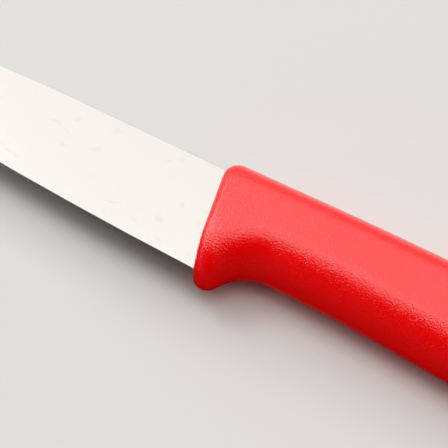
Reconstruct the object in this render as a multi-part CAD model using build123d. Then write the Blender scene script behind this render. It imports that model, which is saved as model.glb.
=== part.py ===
from build123d import *
import os
from dataclasses import dataclass
from math import asin, cos, degrees, radians, sin, sqrt, tan

# Paring knife: a stamped blade with its tang, and a plastic handle moulded round the tang.
#
# The knife lies on its side. +X runs to the butt, the tip points to -X, the cutting edge faces -Y,
# the spine faces +Y, and +Z is square to the blade. Lengths are in millimetres, angles in degrees.
# While the pieces are drawn, x is 0 at the handle's foremost corner, y is 0 at the blade's
# mid-height beside the handle, and z is 0 in the middle of the blade's thickness.

# Blade outline
blade_length = 90.0
blade_height = 18.5
spine_straight = 22.0
spine_radius = 500.0
edge_rise_angle = 1.6
edge_radius = 850.0
point_length = 30.0
tip_height = 3.3

# Blade section
strip_thickness = 1.2
edge_thickness = 0.32
tip_thickness = 0.4
bevel_angle = 20.0

# Tang, hidden in the handle
heel_seat = 2.5
tang_stop = 34.0
tang_height = 9.0
tang_centre = 2.35
shoulder_radius = 2.0
tang_end_radius = 4.4
tang_hole = 4.0
tang_hole_count = 3
tang_notch = 3.0

# Handle outline at its mid-plane, from the front round by the back, the butt and the belly
handle_length = 110.0
front_lean = 11.7
front_cover = 1.23
front_top_radius = 2.3
crest_place = 25.0
crest_cover = 1.75
crest_radius = 300.0
fall_back = 31.0
fall_cover = 1.89
fall_radius = 125.0
butt_top = 4.75
butt_top_radius = 8.5
beak_back = 5.5
beak_drop = 9.05
beak_radius = 5.0
waist_back = 19.0
waist_drop = 6.45
waist_radius = 40.0
swell_back = 40.0
swell_drop = 7.71
swell_radius = 230.0
grip_run = 16.0
grip_drop = 5.16
grip_radius = 120.0
neck_drop = 5.05
neck_radius = 16.4
guard_length = 4.9
guard_reach = 6.0
guard_radius = 4.75

# Handle section, how far each side of the outline draws in between the mid-plane and the flats
handle_thickness = 13.0
front_edge_radius = 1.6
spine_roll = 5.0
belly_roll = 6.3
guard_roll = 12.85
butt_roll = 5.0
butt_top_roll = 2.5
flat_corner_radius = 2.0
level_angles = (0, 22, 42, 56, 68, 79, 90)

# Most of a side that the roundings at its two ends may take up
rounding_share = 0.96
# Run of cutting tools past what they cut
overrun = 6.0

edge_drop = blade_height / 2
half_strip = strip_thickness / 2
half_handle = handle_thickness / 2
front_top = edge_drop + front_cover
guard_drop = edge_drop + guard_reach


def front_run(y):
    """Place along X of the handle's leaning front at height y."""
    return (front_top - y) * tan(radians(front_lean))


heel_reach = front_run(-edge_drop) + heel_seat
tang_reach = handle_length - tang_stop
tang_pitch = (tang_reach - heel_reach) / (tang_hole_count + 2)


def spine_curve():
    """Blade's spine, from the heel to the tip: straight, a slow drop, and the fall to the point."""
    heel = (heel_reach, edge_drop)
    bend = (-spine_straight, edge_drop)
    drop_angle = degrees(asin((blade_length - point_length - spine_straight) / spine_radius))
    straight = Line(heel, bend)
    drop = JernArc(bend, (-1, 0), spine_radius, drop_angle)
    fall = TangentArc(drop @ 1, (-blade_length, tip_height), tangent=drop % 1)
    return [straight, drop, fall]


def edge_curve():
    """Cutting edge, from the heel to the tip: a slow rise and then the belly up to the point."""
    heel_back = (heel_reach, -edge_drop)
    heel = (front_run(-edge_drop), -edge_drop)
    rise = (-cos(radians(edge_rise_angle)), sin(radians(edge_rise_angle)))
    run = blade_length - point_length + heel[0]
    sweep = degrees(asin(run / edge_radius + sin(radians(edge_rise_angle)))) - edge_rise_angle
    inside = Line(heel_back, heel)
    slow = JernArc(heel, rise, edge_radius, -sweep)
    belly = TangentArc(slow @ 1, (-blade_length, tip_height), tangent=slow % 1)
    return [inside, slow, belly]


def grinding_plane(side):
    """Flat of one ground side, through the spine and edge beside the handle and through the tip."""
    corner = Vector(0, edge_drop, side * half_strip)
    edge = Vector(0, -edge_drop, side * edge_thickness / 2)
    tip = Vector(-blade_length, tip_height, side * tip_thickness / 2)
    return Plane(origin=corner, x_dir=tip - corner, z_dir=(tip - corner).cross(edge - corner))


def edge_bevel():
    """What sharpening takes off: the space outside a prism that narrows from the edge both ways."""
    curve = edge_curve()
    tip = curve[-1] @ 1
    ahead = tip + (curve[-1] % 1) * overrun
    top = edge_drop + blade_height
    back = heel_reach + overrun
    rim = Polyline(ahead, (ahead.X, top), (back, top), (back, -edge_drop), curve[0] @ 0)
    keep = make_face([*curve, Line(tip, ahead), rim])
    prism = extrude(keep, amount=strip_thickness, taper=90 - bevel_angle)
    length = heel_reach + blade_length + overrun
    block = Pos(heel_reach - length / 2, 0, 0) * Box(length, 2 * blade_height, 2 * strip_thickness)
    return block - prism - mirror(prism, about=Plane.XY)


def tang_outline():
    """Tang's face: a strip with a round end, plug holes along it and a notch in each side."""
    high = tang_centre + tang_height / 2
    low = tang_centre - tang_height / 2
    rim = FilletPolyline(
        (heel_reach, edge_drop),
        (heel_reach, high),
        (tang_reach, high),
        (tang_reach, low),
        (heel_reach, low),
        (heel_reach, -edge_drop),
        radius=(shoulder_radius, tang_end_radius, tang_end_radius, shoulder_radius),
    )
    face = make_face([rim, Line(rim @ 0, rim @ 1)])
    for number in range(tang_hole_count):
        face -= Pos(heel_reach + (number + 1) * tang_pitch, tang_centre) * Circle(tang_hole / 2)
    for side in (high, low):
        face -= Pos(tang_reach - tang_pitch, side) * Circle(tang_notch / 2)
    return face


def make_blade():
    """Blade and tang in one piece: a stamped outline, ground flat on both sides and sharpened."""
    heel_line = Line((heel_reach, edge_drop), (heel_reach, -edge_drop))
    leaf = extrude(make_face([*spine_curve(), *edge_curve(), heel_line]), amount=half_strip, both=True)
    leaf = split(leaf, bisect_by=grinding_plane(1), keep=Keep.BOTTOM)
    leaf = split(leaf, bisect_by=grinding_plane(-1), keep=Keep.TOP)
    leaf = leaf - edge_bevel()
    return leaf + extrude(tang_outline(), amount=half_strip, both=True)


@dataclass
class Corner:
    """A corner of the handle's outline, as it is at the mid-plane and at the flat side."""

    x: float
    y: float
    radius: float
    flat_x: float
    flat_y: float
    flat_radius: float
    at_front: bool = False

    def place(self, share, edge):
        """Corner's place where the section has drawn in by a share, and the front edge by a length."""
        x = self.x + (self.flat_x - self.x) * share + (edge if self.at_front else 0)
        return Vector(x, self.y + (self.flat_y - self.y) * share)

    def rounding(self, share):
        """Corner's radius where the section has drawn in by a share."""
        return self.radius + (self.flat_radius - self.radius) * share


def drawn_in(y, roll):
    """Height that a corner at height y has at the flat side, where it has drawn in by its roll."""
    return y - roll if y > 0 else y + roll


def side_corner(x, y, radius, roll):
    """A corner on the handle's back or belly, which draws in square to the length."""
    return Corner(x, y, radius, x, drawn_in(y, roll), radius)


def front_corner(y, radius, roll):
    """A corner of the handle's front, which slides along the leaning front as it draws in."""
    flat_y = drawn_in(y, roll)
    return Corner(front_run(y), y, radius, front_run(flat_y), flat_y, flat_corner_radius, True)


def butt_corner(x, y, radius, roll):
    """A corner of the butt, which draws in both ways."""
    return Corner(x, y, radius, x - butt_roll, drawn_in(y, roll), radius)


neck_place = front_run(-guard_drop) + guard_length
handle_corners = (
    front_corner(front_top, front_top_radius, spine_roll),
    side_corner(crest_place, edge_drop + crest_cover, crest_radius, spine_roll),
    side_corner(handle_length - fall_back, edge_drop + fall_cover, fall_radius, spine_roll),
    butt_corner(handle_length, butt_top, butt_top_radius, butt_top_roll),
    butt_corner(handle_length - beak_back, -beak_drop, beak_radius, belly_roll),
    side_corner(handle_length - waist_back, -waist_drop, waist_radius, belly_roll),
    side_corner(handle_length - swell_back, -swell_drop, swell_radius, belly_roll),
    side_corner(neck_place + grip_run, -grip_drop, grip_radius, belly_roll),
    side_corner(neck_place, -neck_drop, neck_radius, belly_roll),
    front_corner(-guard_drop, guard_radius, guard_roll),
)


def fitted_radii(points, radii):
    """The radii, each less where the roundings at both ends of a side would outgrow the side."""
    count = len(points)
    sides = [points[(i + 1) % count] - points[i] for i in range(count)]
    half_turns = [tan(radians(sides[i - 1].get_angle(sides[i]) / 2)) for i in range(count)]
    needs = [radius * turn for radius, turn in zip(radii, half_turns)]
    room = [
        min(1, rounding_share * sides[i].length / (needs[i] + needs[(i + 1) % count]))
        for i in range(count)
    ]
    return [radii[i] * min(room[i - 1], room[i]) for i in range(count)]


def handle_section(angle):
    """Level outline of the handle, this many degrees round its oval side from the mid-plane."""
    level = half_handle * sin(radians(angle))
    share = 1 - cos(radians(angle))
    over = max(abs(level) - half_handle + front_edge_radius, 0)
    edge = front_edge_radius - sqrt(front_edge_radius**2 - min(over, front_edge_radius) ** 2)
    points = [corner.place(share, edge) for corner in handle_corners]
    radii = fitted_radii(points, [corner.rounding(share) for corner in handle_corners])
    return Pos(0, 0, level) * make_face(FilletPolyline(*points, radius=radii, close=True))


def make_handle(blade):
    """Moulded handle: stacked outlines joined by one smooth skin, filled solid round the tang."""
    angles = [-angle for angle in reversed(level_angles[1:])] + list(level_angles)
    form = loft([handle_section(angle) for angle in angles])
    return form - blade


blade = make_blade()
handle = make_handle(blade)
box = Compound([blade, handle]).bounding_box()
rest = Pos(-box.center().X, -box.center().Y, -box.min.Z)

os.makedirs("parts", exist_ok=True)
export_step(rest * blade, "parts/blade.step")
export_step(rest * handle, "parts/handle.step")
print("origin moved by", rest.position)
print("size", box.size)
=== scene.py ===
import logging
import math
from collections.abc import Callable
from dataclasses import dataclass, field
from enum import Enum

import bpy
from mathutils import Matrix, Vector


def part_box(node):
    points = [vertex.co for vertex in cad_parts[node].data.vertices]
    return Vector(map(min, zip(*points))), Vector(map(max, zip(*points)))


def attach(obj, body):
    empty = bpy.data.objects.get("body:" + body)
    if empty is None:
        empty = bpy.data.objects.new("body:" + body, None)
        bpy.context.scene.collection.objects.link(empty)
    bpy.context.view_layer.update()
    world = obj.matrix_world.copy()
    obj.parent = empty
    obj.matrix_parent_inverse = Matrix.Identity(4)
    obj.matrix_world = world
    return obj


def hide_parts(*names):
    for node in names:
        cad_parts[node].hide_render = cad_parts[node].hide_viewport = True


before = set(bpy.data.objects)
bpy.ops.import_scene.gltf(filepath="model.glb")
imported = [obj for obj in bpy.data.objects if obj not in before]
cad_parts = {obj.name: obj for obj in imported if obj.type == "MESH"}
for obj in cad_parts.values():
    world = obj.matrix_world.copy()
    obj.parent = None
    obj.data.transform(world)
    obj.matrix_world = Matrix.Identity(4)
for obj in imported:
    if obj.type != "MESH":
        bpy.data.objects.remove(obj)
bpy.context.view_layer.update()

log = logging.getLogger("paring_knife")

# Lengths are in metres, angles are in degrees and colours are linear, unless a name or a docstring
# says otherwise. A bearing is taken from the +Y axis and grows towards +X.
MM = 0.001
MERGE_DISTANCE = 1e-6
NOISE_RANGE = (0.3, 0.7)

Colour = tuple[float, float, float]
Stretch = tuple[float, float, float]
Socket = bpy.types.NodeSocket
Value = float | Colour | Socket


class Part(Enum):
    """What an edit-mode selection takes hold of."""

    VERTICES = "VERT"
    EDGES = "EDGE"


class Blend(Enum):
    """What a blend mixes."""

    NUMBERS = "FLOAT"
    COLOURS = "RGBA"


def direction(bearing: float, elevation: float) -> Vector:
    """Find the unit vector towards a place in the room.

    Args:
        bearing: bearing of the place.
        elevation: its angle above the floor.

    Returns:
        The unit vector.
    """
    b, e = math.radians(bearing), math.radians(elevation)
    return Vector((math.sin(b) * math.cos(e), math.cos(b) * math.cos(e), math.sin(e)))


class NodeBoard:
    """A material's node tree, with short calls for the nodes that the finishes share."""

    def __init__(self, name: str) -> None:
        """Start a material with a principled shader and the piece's coordinates.

        Args:
            name: the material's name.
        """
        self.material = bpy.data.materials.new(name)
        self.material.use_nodes = True
        self.tree = self.material.node_tree
        self.shader = self.tree.nodes["Principled BSDF"]
        self.coordinates = self.add("ShaderNodeTexCoord").outputs

    def add(self, kind: str, **settings: object) -> bpy.types.Node:
        """Add a node.

        Args:
            kind: the node's type name.
            settings: properties of the node, by name.

        Returns:
            The new node.
        """
        node = self.tree.nodes.new(kind)
        for name, value in settings.items():
            setattr(node, name, value)
        return node

    def feed(self, value: Value, target: Socket) -> None:
        """Give an input its value.

        Args:
            value: a number, a colour, or an output to link.
            target: the input.
        """
        if isinstance(value, Socket):
            self.tree.links.new(value, target)
        elif isinstance(value, tuple):
            target.default_value = (*value, 1)
        else:
            target.default_value = value

    def give(self, name: str, value: Value) -> None:
        """Give the shader's input of this name its value."""
        self.feed(value, self.shader.inputs[name])

    def noise(self, grain: float, stretch: Stretch = (1, 1, 1), detail: float = 2.0,
              fineness: float = 0.5) -> Socket:
        """Add a noise in the piece's own space.

        Args:
            grain: size of the noise's features.
            stretch: how many times longer the features are along each axis.
            detail: number of finer layers.
            fineness: strength of the finer layers.

        Returns:
            The noise, from 0 to 1.
        """
        mapping = self.add("ShaderNodeMapping")
        mapping.inputs["Scale"].default_value = [1 / times for times in stretch]
        self.feed(self.coordinates["Object"], mapping.inputs["Vector"])
        node = self.add("ShaderNodeTexNoise")
        self.feed(mapping.outputs["Vector"], node.inputs["Vector"])
        self.feed(1 / grain, node.inputs["Scale"])
        self.feed(detail, node.inputs["Detail"])
        self.feed(fineness, node.inputs["Roughness"])
        return node.outputs["Fac"]

    def spread(self, source: Socket, low: float, high: float, to_low: float, to_high: float) -> Socket:
        """Map a range of values smoothly onto another.

        Args:
            source: the value to map.
            low: source value that gives to_low.
            high: source value that gives to_high.
            to_low: result at low.
            to_high: result at high.

        Returns:
            The mapped value.
        """
        node = self.add("ShaderNodeMapRange", interpolation_type="SMOOTHSTEP")
        self.feed(source, node.inputs["Value"])
        for name, value in zip(("From Min", "From Max", "To Min", "To Max"), (low, high, to_low, to_high)):
            self.feed(value, node.inputs[name])
        return node.outputs["Result"]

    def vary(self, noise: Socket, middle: float, swing: float) -> Socket:
        """Turn a noise into a value that varies about a middle, by up to a swing to each side."""
        return self.spread(noise, *NOISE_RANGE, middle - swing, middle + swing)

    def blend(self, kind: Blend, factor: Socket, first: Value, second: Value) -> Socket:
        """Mix two numbers or two colours.

        Args:
            kind: what is mixed.
            factor: 0 for the first, 1 for the second.
            first: the first number or colour.
            second: the second number or colour.

        Returns:
            The mixed number or colour.
        """
        node = self.add("ShaderNodeMix", data_type=kind.value)
        self.feed(factor, node.inputs["Factor"])
        self.feed(first, node.inputs["A"])
        self.feed(second, node.inputs["B"])
        return node.outputs["Result"]

    def split(self, source: Socket) -> bpy.types.bpy_prop_collection:
        """Split a vector.

        Args:
            source: the vector.

        Returns:
            Its X, Y and Z outputs, by name.
        """
        node = self.add("ShaderNodeSeparateXYZ")
        self.feed(source, node.inputs["Vector"])
        return node.outputs

    def relief(self, height: Socket, depth: float) -> Socket:
        """Turn a height into surface relief.

        Args:
            height: value from 0 to 1.
            depth: distance between heights 0 and 1.

        Returns:
            The relief's normal.
        """
        node = self.add("ShaderNodeBump")
        self.feed(depth, node.inputs["Distance"])
        self.feed(height, node.inputs["Height"])
        return node.outputs["Normal"]


@dataclass(frozen=True)
class PebblePlastic:
    """Red moulded plastic with the fine pebble texture of an eroded mould."""

    name: str = "red_pebble_plastic"
    pigment: Colour = (0.98, 0.0, 0.0003)
    deep_pigment: Colour = (0.95, 0.0, 0.0)
    pigment_cloud: float = 9 * MM
    pebble: float = 0.25 * MM
    pebble_depth: float = 0.09 * MM
    pebble_detail: float = 1.5
    pebble_fineness: float = 0.45
    roughness: float = 0.12
    roughness_swing: float = 0.02
    specular_level: float = 0.88

    def material(self) -> bpy.types.Material:
        """Build the finish.

        Returns:
            The material.
        """
        board = NodeBoard(self.name)
        cloud = board.noise(self.pigment_cloud)
        board.give("Base Color", board.blend(Blend.COLOURS, cloud, self.pigment, self.deep_pigment))
        pebbles = board.noise(self.pebble, detail=self.pebble_detail, fineness=self.pebble_fineness)
        board.give("Normal", board.relief(pebbles, self.pebble_depth))
        board.give("Roughness", board.vary(pebbles, self.roughness, self.roughness_swing))
        board.give("Specular IOR Level", self.specular_level)
        return board.material


@dataclass(frozen=True)
class GroundSteel:
    """Stainless steel, ground fine across the blade, honed finer on the bevel, with faint smudges; the
    bevel's darker colour is painted shade.
    """

    name: str = "ground_steel"
    bright: Colour = (0.636, 0.606, 0.572)
    smudge: Colour = (0.600, 0.571, 0.537)
    smudge_size: float = 1.5 * MM
    smudge_stretch: Stretch = (1.8, 1, 1)
    smudge_start: float = 0.60
    smudge_full: float = 0.76
    grinding_line: float = 0.12 * MM
    grinding_stretch: Stretch = (1, 40, 1)
    roughness: float = 0.18
    roughness_swing: float = 0.02
    honed_painted_shade: Colour = (0.55, 0.53, 0.50)
    honed_roughness: float = 0.14
    honed_slope: float = 0.96
    ground_slope: float = 0.985

    def material(self) -> bpy.types.Material:
        """Build the finish.

        Returns:
            The material.
        """
        board = NodeBoard(self.name)
        film = board.noise(self.smudge_size, self.smudge_stretch)
        stain = board.spread(film, self.smudge_start, self.smudge_full, 0, 1)
        ground = board.blend(Blend.COLOURS, stain, self.bright, self.smudge)
        lines = board.noise(self.grinding_line, self.grinding_stretch)
        ground_roughness = board.vary(lines, self.roughness, self.roughness_swing)
        on_flat = self.flat_mask(board)
        gloss = board.blend(Blend.NUMBERS, on_flat, self.honed_roughness, ground_roughness)
        # Painted shade: the bevel gets a darker steel colour that stands in for the dark surroundings it
        # mirrors; its lower roughness is the real honed finish.
        board.give("Base Color", board.blend(Blend.COLOURS, on_flat, self.honed_painted_shade, ground))
        board.give("Roughness", gloss)
        board.give("Metallic", 1.0)
        return board.material

    def flat_mask(self, board: NodeBoard) -> Socket:
        """Tell the ground flats from the bevel by how squarely they face up or down.

        Args:
            board: the material's board.

        Returns:
            1 on the flats and 0 on the bevel.
        """
        upright = board.add("ShaderNodeMath", operation="ABSOLUTE")
        board.feed(board.split(board.coordinates["Normal"])["Z"], upright.inputs[0])
        return board.spread(upright.outputs[0], self.honed_slope, self.ground_slope, 0, 1)


@dataclass(frozen=True)
class PaleFloor:
    """Plain pale floor, with a painted dark reflection: in front of the knife it turns black for glossy
    rays only, so the knife's gloss mirrors darkness there.
    """

    name: str = "pale_floor"
    colour: Colour = (0.694, 0.689, 0.664)
    roughness: float = 0.9
    specular_level: float = 0.1
    # painted dark reflection: the colour that glossy rays see on the floor in front of the knife
    painted_reflection_shade_colour: Colour = (0.0, 0.0, 0.0)
    painted_reflection_shade_edge: float = -4 * MM
    painted_reflection_shade_fade: float = 3 * MM

    def material(self) -> bpy.types.Material:
        """Build the finish.

        Returns:
            The material.
        """
        board = NodeBoard(self.name)
        across = board.split(board.coordinates["Object"])["Y"]
        front = board.spread(across, self.painted_reflection_shade_edge - self.painted_reflection_shade_fade, self.painted_reflection_shade_edge + self.painted_reflection_shade_fade, 1, 0)
        # Painted dark reflection: black to glossy rays in front of the knife, while the camera and diffuse
        # light still see the pale floor.
        painted_reflection_shade_mask = board.add("ShaderNodeMath", operation="MULTIPLY")
        board.feed(front, painted_reflection_shade_mask.inputs[0])
        board.feed(board.add("ShaderNodeLightPath").outputs["Is Glossy Ray"], painted_reflection_shade_mask.inputs[1])
        board.give("Base Color", board.blend(Blend.COLOURS, painted_reflection_shade_mask.outputs[0], self.colour, self.painted_reflection_shade_colour))
        board.give("Roughness", self.roughness)
        board.give("Specular IOR Level", self.specular_level)
        return board.material


@dataclass
class Softbox:
    """A rectangular studio lamp that faces the knife, and that the knife's gloss mirrors."""

    name: str
    bearing: float
    elevation: float
    width: float
    height: float
    radiance: float
    distance: float = 1.6
    mirrored: bool = True

    def hang(self, target: Vector) -> None:
        """Hang the lamp.

        Args:
            target: the point that it faces.
        """
        way = direction(self.bearing, self.elevation)
        bpy.ops.object.light_add(type="AREA", location=target + way * self.distance)
        lamp = bpy.context.object
        lamp.name = self.name
        lamp.rotation_euler = way.to_track_quat("Z", "Y").to_euler()
        lamp.data.shape = "RECTANGLE"
        lamp.data.size = self.width
        lamp.data.size_y = self.height
        lamp.data.energy = self.radiance * math.pi * self.width * self.height
        lamp.visible_camera = False
        lamp.visible_glossy = self.mirrored


@dataclass
class Card(Softbox):
    """A lit card, which the knife's gloss doesn't mirror."""

    mirrored: bool = False


@dataclass
class Studio:
    """Floor, lamps, room light and camera."""

    look_at: Vector = field(default_factory=lambda: Vector((-4.34, 0.5, 6.5)) * MM)
    view_azimuth: float = 29.3
    view_elevation: float = 60.0
    view_distance: float = 0.2962
    view_start: float = 10 * MM
    lens_mm: float = 150.0
    floor_size: float = 8.0
    room_light: float = 0.02
    far_wall: float = 0.75
    room_colour: Colour = (1.0, 0.97, 0.93)

    def lamps(self) -> list[Softbox]:
        """List the lamps.

        Returns:
            The softboxes and then the cards.
        """
        return [
            Softbox("back_softbox", bearing=0, elevation=67.5, width=4.6, height=2.1, radiance=0.98),
            Softbox("low_back_softbox", bearing=0, elevation=27, width=4.6, height=1.3, radiance=0.55),
            Softbox("back_strip", bearing=-29, elevation=56, width=0.9, height=0.55, radiance=0.43),
            Softbox("overhead_strip", bearing=-26, elevation=74, width=0.8, height=0.5, radiance=0.55),
            Softbox("overhead_edge", bearing=151, elevation=88, width=0.9, height=0.55, radiance=1.05),
            Softbox("left_window", bearing=-70, elevation=24, width=1.0, height=0.9, radiance=0.85),
            Softbox("left_low_window", bearing=-122, elevation=20, width=1.7, height=0.8, radiance=0.35),
            Softbox("left_high_window", bearing=-74, elevation=52, width=0.42, height=0.6, radiance=5.0),
            Softbox("left_band", bearing=-108, elevation=52, width=1.0, height=0.26, radiance=3.8),
            Card("left_card", bearing=-88, elevation=42, width=0.8, height=0.8, radiance=0.35),
            Card("right_card", bearing=92, elevation=20, width=1.0, height=0.8, radiance=0.9),
            Card("front_high_card", bearing=170, elevation=80, width=1.0, height=0.8, radiance=1.25),
            Card("front_low_card", bearing=-168, elevation=7, width=1.6, height=0.3, radiance=1.5),
        ]

    def lay_floor(self) -> None:
        """Lay the floor under the knife."""
        bpy.ops.mesh.primitive_plane_add(size=self.floor_size, location=(0, 0, 0))
        floor = bpy.context.object
        floor.name = "floor"
        floor.data.materials.append(PaleFloor().material())

    def fill_room(self) -> None:
        """Give the dim light of the room, and the pale far wall that a low camera sees."""
        world = bpy.data.worlds.new("room")
        bpy.context.scene.world = world
        world.use_nodes = True
        nodes, links = world.node_tree.nodes, world.node_tree.links
        background = nodes["Background"]
        background.inputs["Color"].default_value = (*self.room_colour, 1)
        strength = nodes.new("ShaderNodeMix")
        strength.inputs["A"].default_value = self.room_light
        strength.inputs["B"].default_value = self.far_wall
        links.new(nodes.new("ShaderNodeLightPath").outputs["Is Camera Ray"], strength.inputs["Factor"])
        links.new(strength.outputs["Result"], background.inputs["Strength"])

    def place_camera(self) -> None:
        """Place the camera at the photograph's viewing angle."""
        way = direction(180 - self.view_azimuth, self.view_elevation)
        bpy.ops.object.camera_add(location=self.look_at + way * self.view_distance)
        camera = bpy.context.object
        camera.name = "camera"
        camera.rotation_euler = way.to_track_quat("Z", "Y").to_euler()
        camera.data.lens = self.lens_mm
        camera.data.clip_start = self.view_start
        bpy.context.scene.camera = camera

    def build(self) -> None:
        """Set the whole studio up."""
        self.lay_floor()
        self.fill_room()
        for lamp in self.lamps():
            lamp.hang(self.look_at)
        self.place_camera()


@dataclass
class Workpiece:
    """A piece on the bench, shaped by edit-mode steps and by modifiers that are applied."""

    piece: bpy.types.Object

    @classmethod
    def from_grid(cls, columns: int, rows: int, place: Vector, turn: Vector, size: Vector) -> "Workpiece":
        """Start from a flat grid.

        Args:
            columns: divisions across.
            rows: divisions up.
            place: its centre.
            turn: its turn about the axes, in radians.
            size: its width and height.

        Returns:
            The new workpiece.
        """
        bpy.ops.object.select_all(action="DESELECT")
        bpy.ops.mesh.primitive_grid_add(x_subdivisions=columns, y_subdivisions=rows, size=1,
                                        location=place, rotation=turn)
        piece = bpy.context.object
        piece.scale = size
        bpy.ops.object.transform_apply(location=True, rotation=True, scale=True)
        return cls(piece)

    @classmethod
    def from_node(cls, node: str) -> "Workpiece":
        """Start from a copy of a CAD node, with its loose triangles merged.

        Args:
            node: the node's name.

        Returns:
            The new workpiece.
        """
        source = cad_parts[node]
        piece = bpy.data.objects.new(node + "_copy", source.data.copy())
        bpy.context.collection.objects.link(piece)
        work = cls(piece)
        work.open()
        bpy.ops.mesh.remove_doubles(threshold=MERGE_DISTANCE)
        bpy.ops.mesh.customdata_custom_splitnormals_clear()
        work.close()
        return work

    def activate(self) -> None:
        """Select this piece alone and make it the active one."""
        bpy.ops.object.select_all(action="DESELECT")
        self.piece.select_set(True)
        bpy.context.view_layer.objects.active = self.piece

    def open(self) -> None:
        """Go into edit mode with the whole mesh selected."""
        self.activate()
        bpy.ops.object.mode_set(mode="EDIT")
        bpy.ops.mesh.select_all(action="SELECT")

    def close(self) -> None:
        """Leave edit mode."""
        bpy.ops.object.mode_set(mode="OBJECT")

    def pick(self, part: Part, test: Callable[[Vector, Vector], bool]) -> int:
        """Select parts of the mesh by place and direction, and leave the mesh open.

        Args:
            part: what to select.
            test: takes a vertex's place and normal, or an edge's middle and direction, and says
                whether it is wanted.

        Returns:
            How many were selected.
        """
        self.open()
        bpy.ops.mesh.select_mode(type=part.value)
        bpy.ops.mesh.select_all(action="DESELECT")
        self.close()
        mesh = self.piece.data
        count = 0
        if part is Part.EDGES:
            for edge in mesh.edges:
                start, end = (mesh.vertices[i].co for i in edge.vertices)
                edge.select = test((start + end) / 2, (end - start).normalized())
                count += edge.select
        else:
            for vertex in mesh.vertices:
                vertex.select = test(vertex.co, vertex.normal)
                count += vertex.select
        bpy.ops.object.mode_set(mode="EDIT")
        return count

    def cut_level(self, height: float) -> None:
        """Cut a level line of new edges round the whole piece.

        Args:
            height: the line's height above the floor.
        """
        self.open()
        bpy.ops.mesh.bisect(plane_co=(0, 0, height), plane_no=(0, 0, 1))
        self.close()

    def apply(self, kind: str, **settings: object) -> None:
        """Add a modifier and apply it.

        Args:
            kind: the modifier's type.
            settings: its properties, by name.
        """
        self.activate()
        modifier = self.piece.modifiers.new(kind.lower(), kind)
        for name, value in settings.items():
            setattr(modifier, name, value)
        bpy.ops.object.modifier_apply(modifier=modifier.name)

    def face_outwards(self) -> None:
        """Turn every face outwards."""
        self.open()
        bpy.ops.mesh.normals_make_consistent(inside=False)
        self.close()

    def dress(self, name: str, node: str, slot: str, material: bpy.types.Material) -> None:
        """Name and dress the piece and let it stand for its CAD node.

        Args:
            name: the piece's name.
            node: the node that it replaces.
            slot: not used.
            material: its finish.
        """
        self.piece.name = name
        self.piece.data.name = name
        self.piece.data.materials.clear()
        self.piece.data.materials.append(material)
        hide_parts(node)
        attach(self.piece, "root")


@dataclass
class Blade:
    """The stamped blade: flat ground sides, a sharpened bevel and lightly broken spine corners."""

    corner_break: float = 0.05 * MM
    break_steps: int = 2
    flatness: float = 0.5
    crease: float = 8.0
    tip_share: float = 0.69
    heel_share: float = 0.89
    least_along: float = 0.6
    finish: GroundSteel = field(default_factory=GroundSteel)

    def __post_init__(self) -> None:
        """Read the blade's place from the frame."""
        self.low, self.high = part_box("blade")
        self.middle = (self.low + self.high) / 2
        self.handle_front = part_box("handle")[0].x

    def build(self) -> bpy.types.Object:
        """Model and dress the blade.

        Returns:
            The piece.
        """
        work = Workpiece.from_node("blade")
        self.clear_facets(work)
        self.break_corners(work)
        self.shade(work)
        work.dress("blade_steel_leaf", "blade", "blade_steel", self.finish.material())
        return work.piece

    def clear_facets(self, work: Workpiece) -> None:
        """Join the triangles of each flat side into one face.

        Args:
            work: the blade on the bench.
        """
        work.open()
        bpy.ops.mesh.dissolve_limited(angle_limit=math.radians(self.flatness))
        work.close()

    def on_spine(self, place: Vector, way: Vector) -> bool:
        """Tell the spine's corners from the blade's other edges.

        Args:
            place: an edge's middle.
            way: its direction.

        Returns:
            Whether the edge is part of a spine corner.
        """
        run_share = (place.x - self.low.x) / (self.handle_front - self.low.x)
        height_share = self.tip_share + (self.heel_share - self.tip_share) * run_share
        lowest = self.low.y + (self.high.y - self.low.y) * height_share
        off_middle = abs(place.z - self.middle.z) > self.corner_break
        outside = place.x < self.handle_front
        return abs(way.x) > self.least_along and outside and off_middle and place.y > lowest

    def break_corners(self, work: Workpiece) -> None:
        """Take the burr off the two corners of the spine, as tumbling does.

        Args:
            work: the blade on the bench.
        """
        count = work.pick(Part.EDGES, self.on_spine)
        bpy.ops.mesh.bevel(offset=self.corner_break, segments=self.break_steps, affect="EDGES")
        work.close()
        log.info("spine corners broken on %d edges", count)

    def shade(self, work: Workpiece) -> None:
        """Shade the curved faces smooth and keep the ground corners crisp."""
        work.activate()
        bpy.ops.object.shade_smooth_by_angle(angle=math.radians(self.crease))


@dataclass
class Ring:
    """One cross-section of the handle: where its back and its belly are, and how far it leans."""

    back: Vector
    belly: Vector
    lean_radians: float

    @property
    def centre(self) -> Vector:
        """Middle of the section."""
        return (self.back + self.belly) / 2

    @property
    def height(self) -> float:
        """Size of the section from back to belly."""
        return (self.back - self.belly).length


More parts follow.
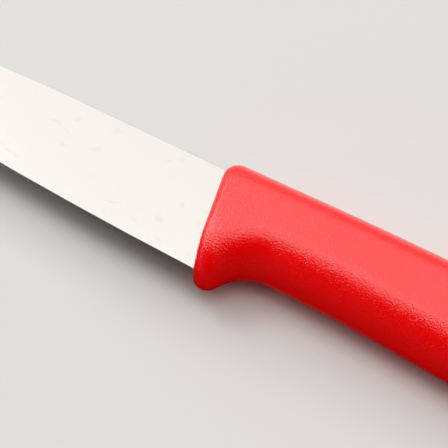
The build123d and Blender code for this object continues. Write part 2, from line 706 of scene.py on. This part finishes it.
@dataclass
class MouldedHandle:
    """The handle's skin: a block extruded ring by ring, drawn onto the CAD form and smoothed."""

    front_lean: float = 11.7
    lean_end: float = 26 * MM
    stations_mm: tuple[float, ...] = (
        0.35, 1.1, 2.1, 3.4, 5.2, 7.5, 10.5, 14.5, 19.5, 25.5, 33, 41, 49, 57, 64, 70, 76, 82, 87,
        91.5, 95.5, 99, 102, 104.3, 105.9,
    )
    columns: int = 4
    rows: int = 7
    probe_height: float = 2 * MM
    probe_start: float = 60 * MM
    drawing_levels: tuple[int, ...] = (1, 2)
    smoothing_rounds: int = 5
    smoothing_strength: float = 0.5
    line_width: float = 0.2 * MM
    line_height: float = 0.02 * MM
    finish: PebblePlastic = field(default_factory=PebblePlastic)

    def __post_init__(self) -> None:
        """Read the handle's place from the frame."""
        self.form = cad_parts["handle"]
        self.low, self.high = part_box("handle")
        self.middle = (self.low + self.high) / 2
        self.thickness = self.high.z - self.low.z

    def build(self) -> bpy.types.Object:
        """Model and dress the handle.

        Returns:
            The piece.
        """
        work = self.extrude_cage()
        self.draw_on(work)
        self.raise_parting_line(work)
        work.activate()
        bpy.ops.object.shade_smooth()
        work.dress("handle_moulded_skin", "handle", "handle_plastic", self.finish.material())
        return work.piece

    def ring_at(self, run: float) -> Ring:
        """Find the section at a place along the handle.

        Args:
            run: distance from the handle's front.

        Returns:
            The section.
        """
        lean = math.radians(self.front_lean) * max(0.0, 1 - run / self.lean_end)
        down = Vector((math.sin(lean), -math.cos(lean), 0))
        start_y = self.high.y if lean else self.middle.y
        start = Vector((self.low.x + run, start_y, self.middle.z + self.probe_height))
        sides = []
        for way in (down, -down):
            found, place, _, _ = self.form.ray_cast(start - way * self.probe_start, way)
            if not found:
                raise ValueError(f"no handle at {run / MM:.1f} mm")
            sides.append(Vector((place.x, place.y, self.middle.z)))
        return Ring(sides[0], sides[1], lean)

    def extrude_cage(self) -> Workpiece:
        """Extrude a block along the handle, ring by ring.

        Returns:
            The closed cage.
        """
        rings = [self.ring_at(station * MM) for station in self.stations_mm]
        first = rings[0]
        work = Workpiece.from_grid(self.columns, self.rows, first.centre,
                                   Vector((0, math.pi / 2, first.lean_radians)),
                                   Vector((self.thickness, first.height, 1)))
        work.open()
        for before, ring in zip(rings, rings[1:]):
            step = ring.centre - before.centre
            turn = before.lean_radians - ring.lean_radians
            growth = ring.height / before.height
            bpy.ops.mesh.extrude_region_move(TRANSFORM_OT_translate={"value": step})
            bpy.ops.transform.rotate(value=turn, orient_axis="Z", center_override=ring.centre)
            bpy.ops.transform.resize(value=(growth, growth, 1), center_override=ring.centre)
        work.close()
        work.face_outwards()
        return work

    def draw_on(self, work: Workpiece) -> None:
        """Draw the cage onto the CAD form, finer each time, and smooth the result.

        Args:
            work: the handle on the bench.
        """
        for levels in self.drawing_levels:
            work.apply("SUBSURF", levels=levels, render_levels=levels)
            work.apply("SHRINKWRAP", target=self.form, wrap_method="NEAREST_SURFACEPOINT")
        work.apply("SMOOTH", factor=self.smoothing_strength, iterations=self.smoothing_rounds)

    def raise_parting_line(self, work: Workpiece) -> None:
        """Raise the fine ridge that the two halves of the mould leave round the handle.

        Args:
            work: the handle on the bench.
        """
        for offset in (-self.line_width / 2, 0, self.line_width / 2):
            work.cut_level(self.middle.z + offset)
        work.pick(Part.VERTICES, lambda place, _: abs(place.z - self.middle.z) < MERGE_DISTANCE)
        bpy.ops.transform.shrink_fatten(value=self.line_height)
        work.close()


def main() -> None:
    """Build the studio and the knife, and report each piece."""
    logging.basicConfig(level=logging.INFO, format="%(name)s: %(message)s")
    Studio().build()
    for sub_assembly in (Blade(), MouldedHandle()):
        piece = sub_assembly.build()
        size = piece.dimensions / MM
        log.info("%s: %d faces, %.1f x %.1f x %.1f mm", piece.name, len(piece.data.polygons), *size)
    bpy.context.scene.view_settings.view_transform = "Standard"


if __name__ == "__main__":
    main()
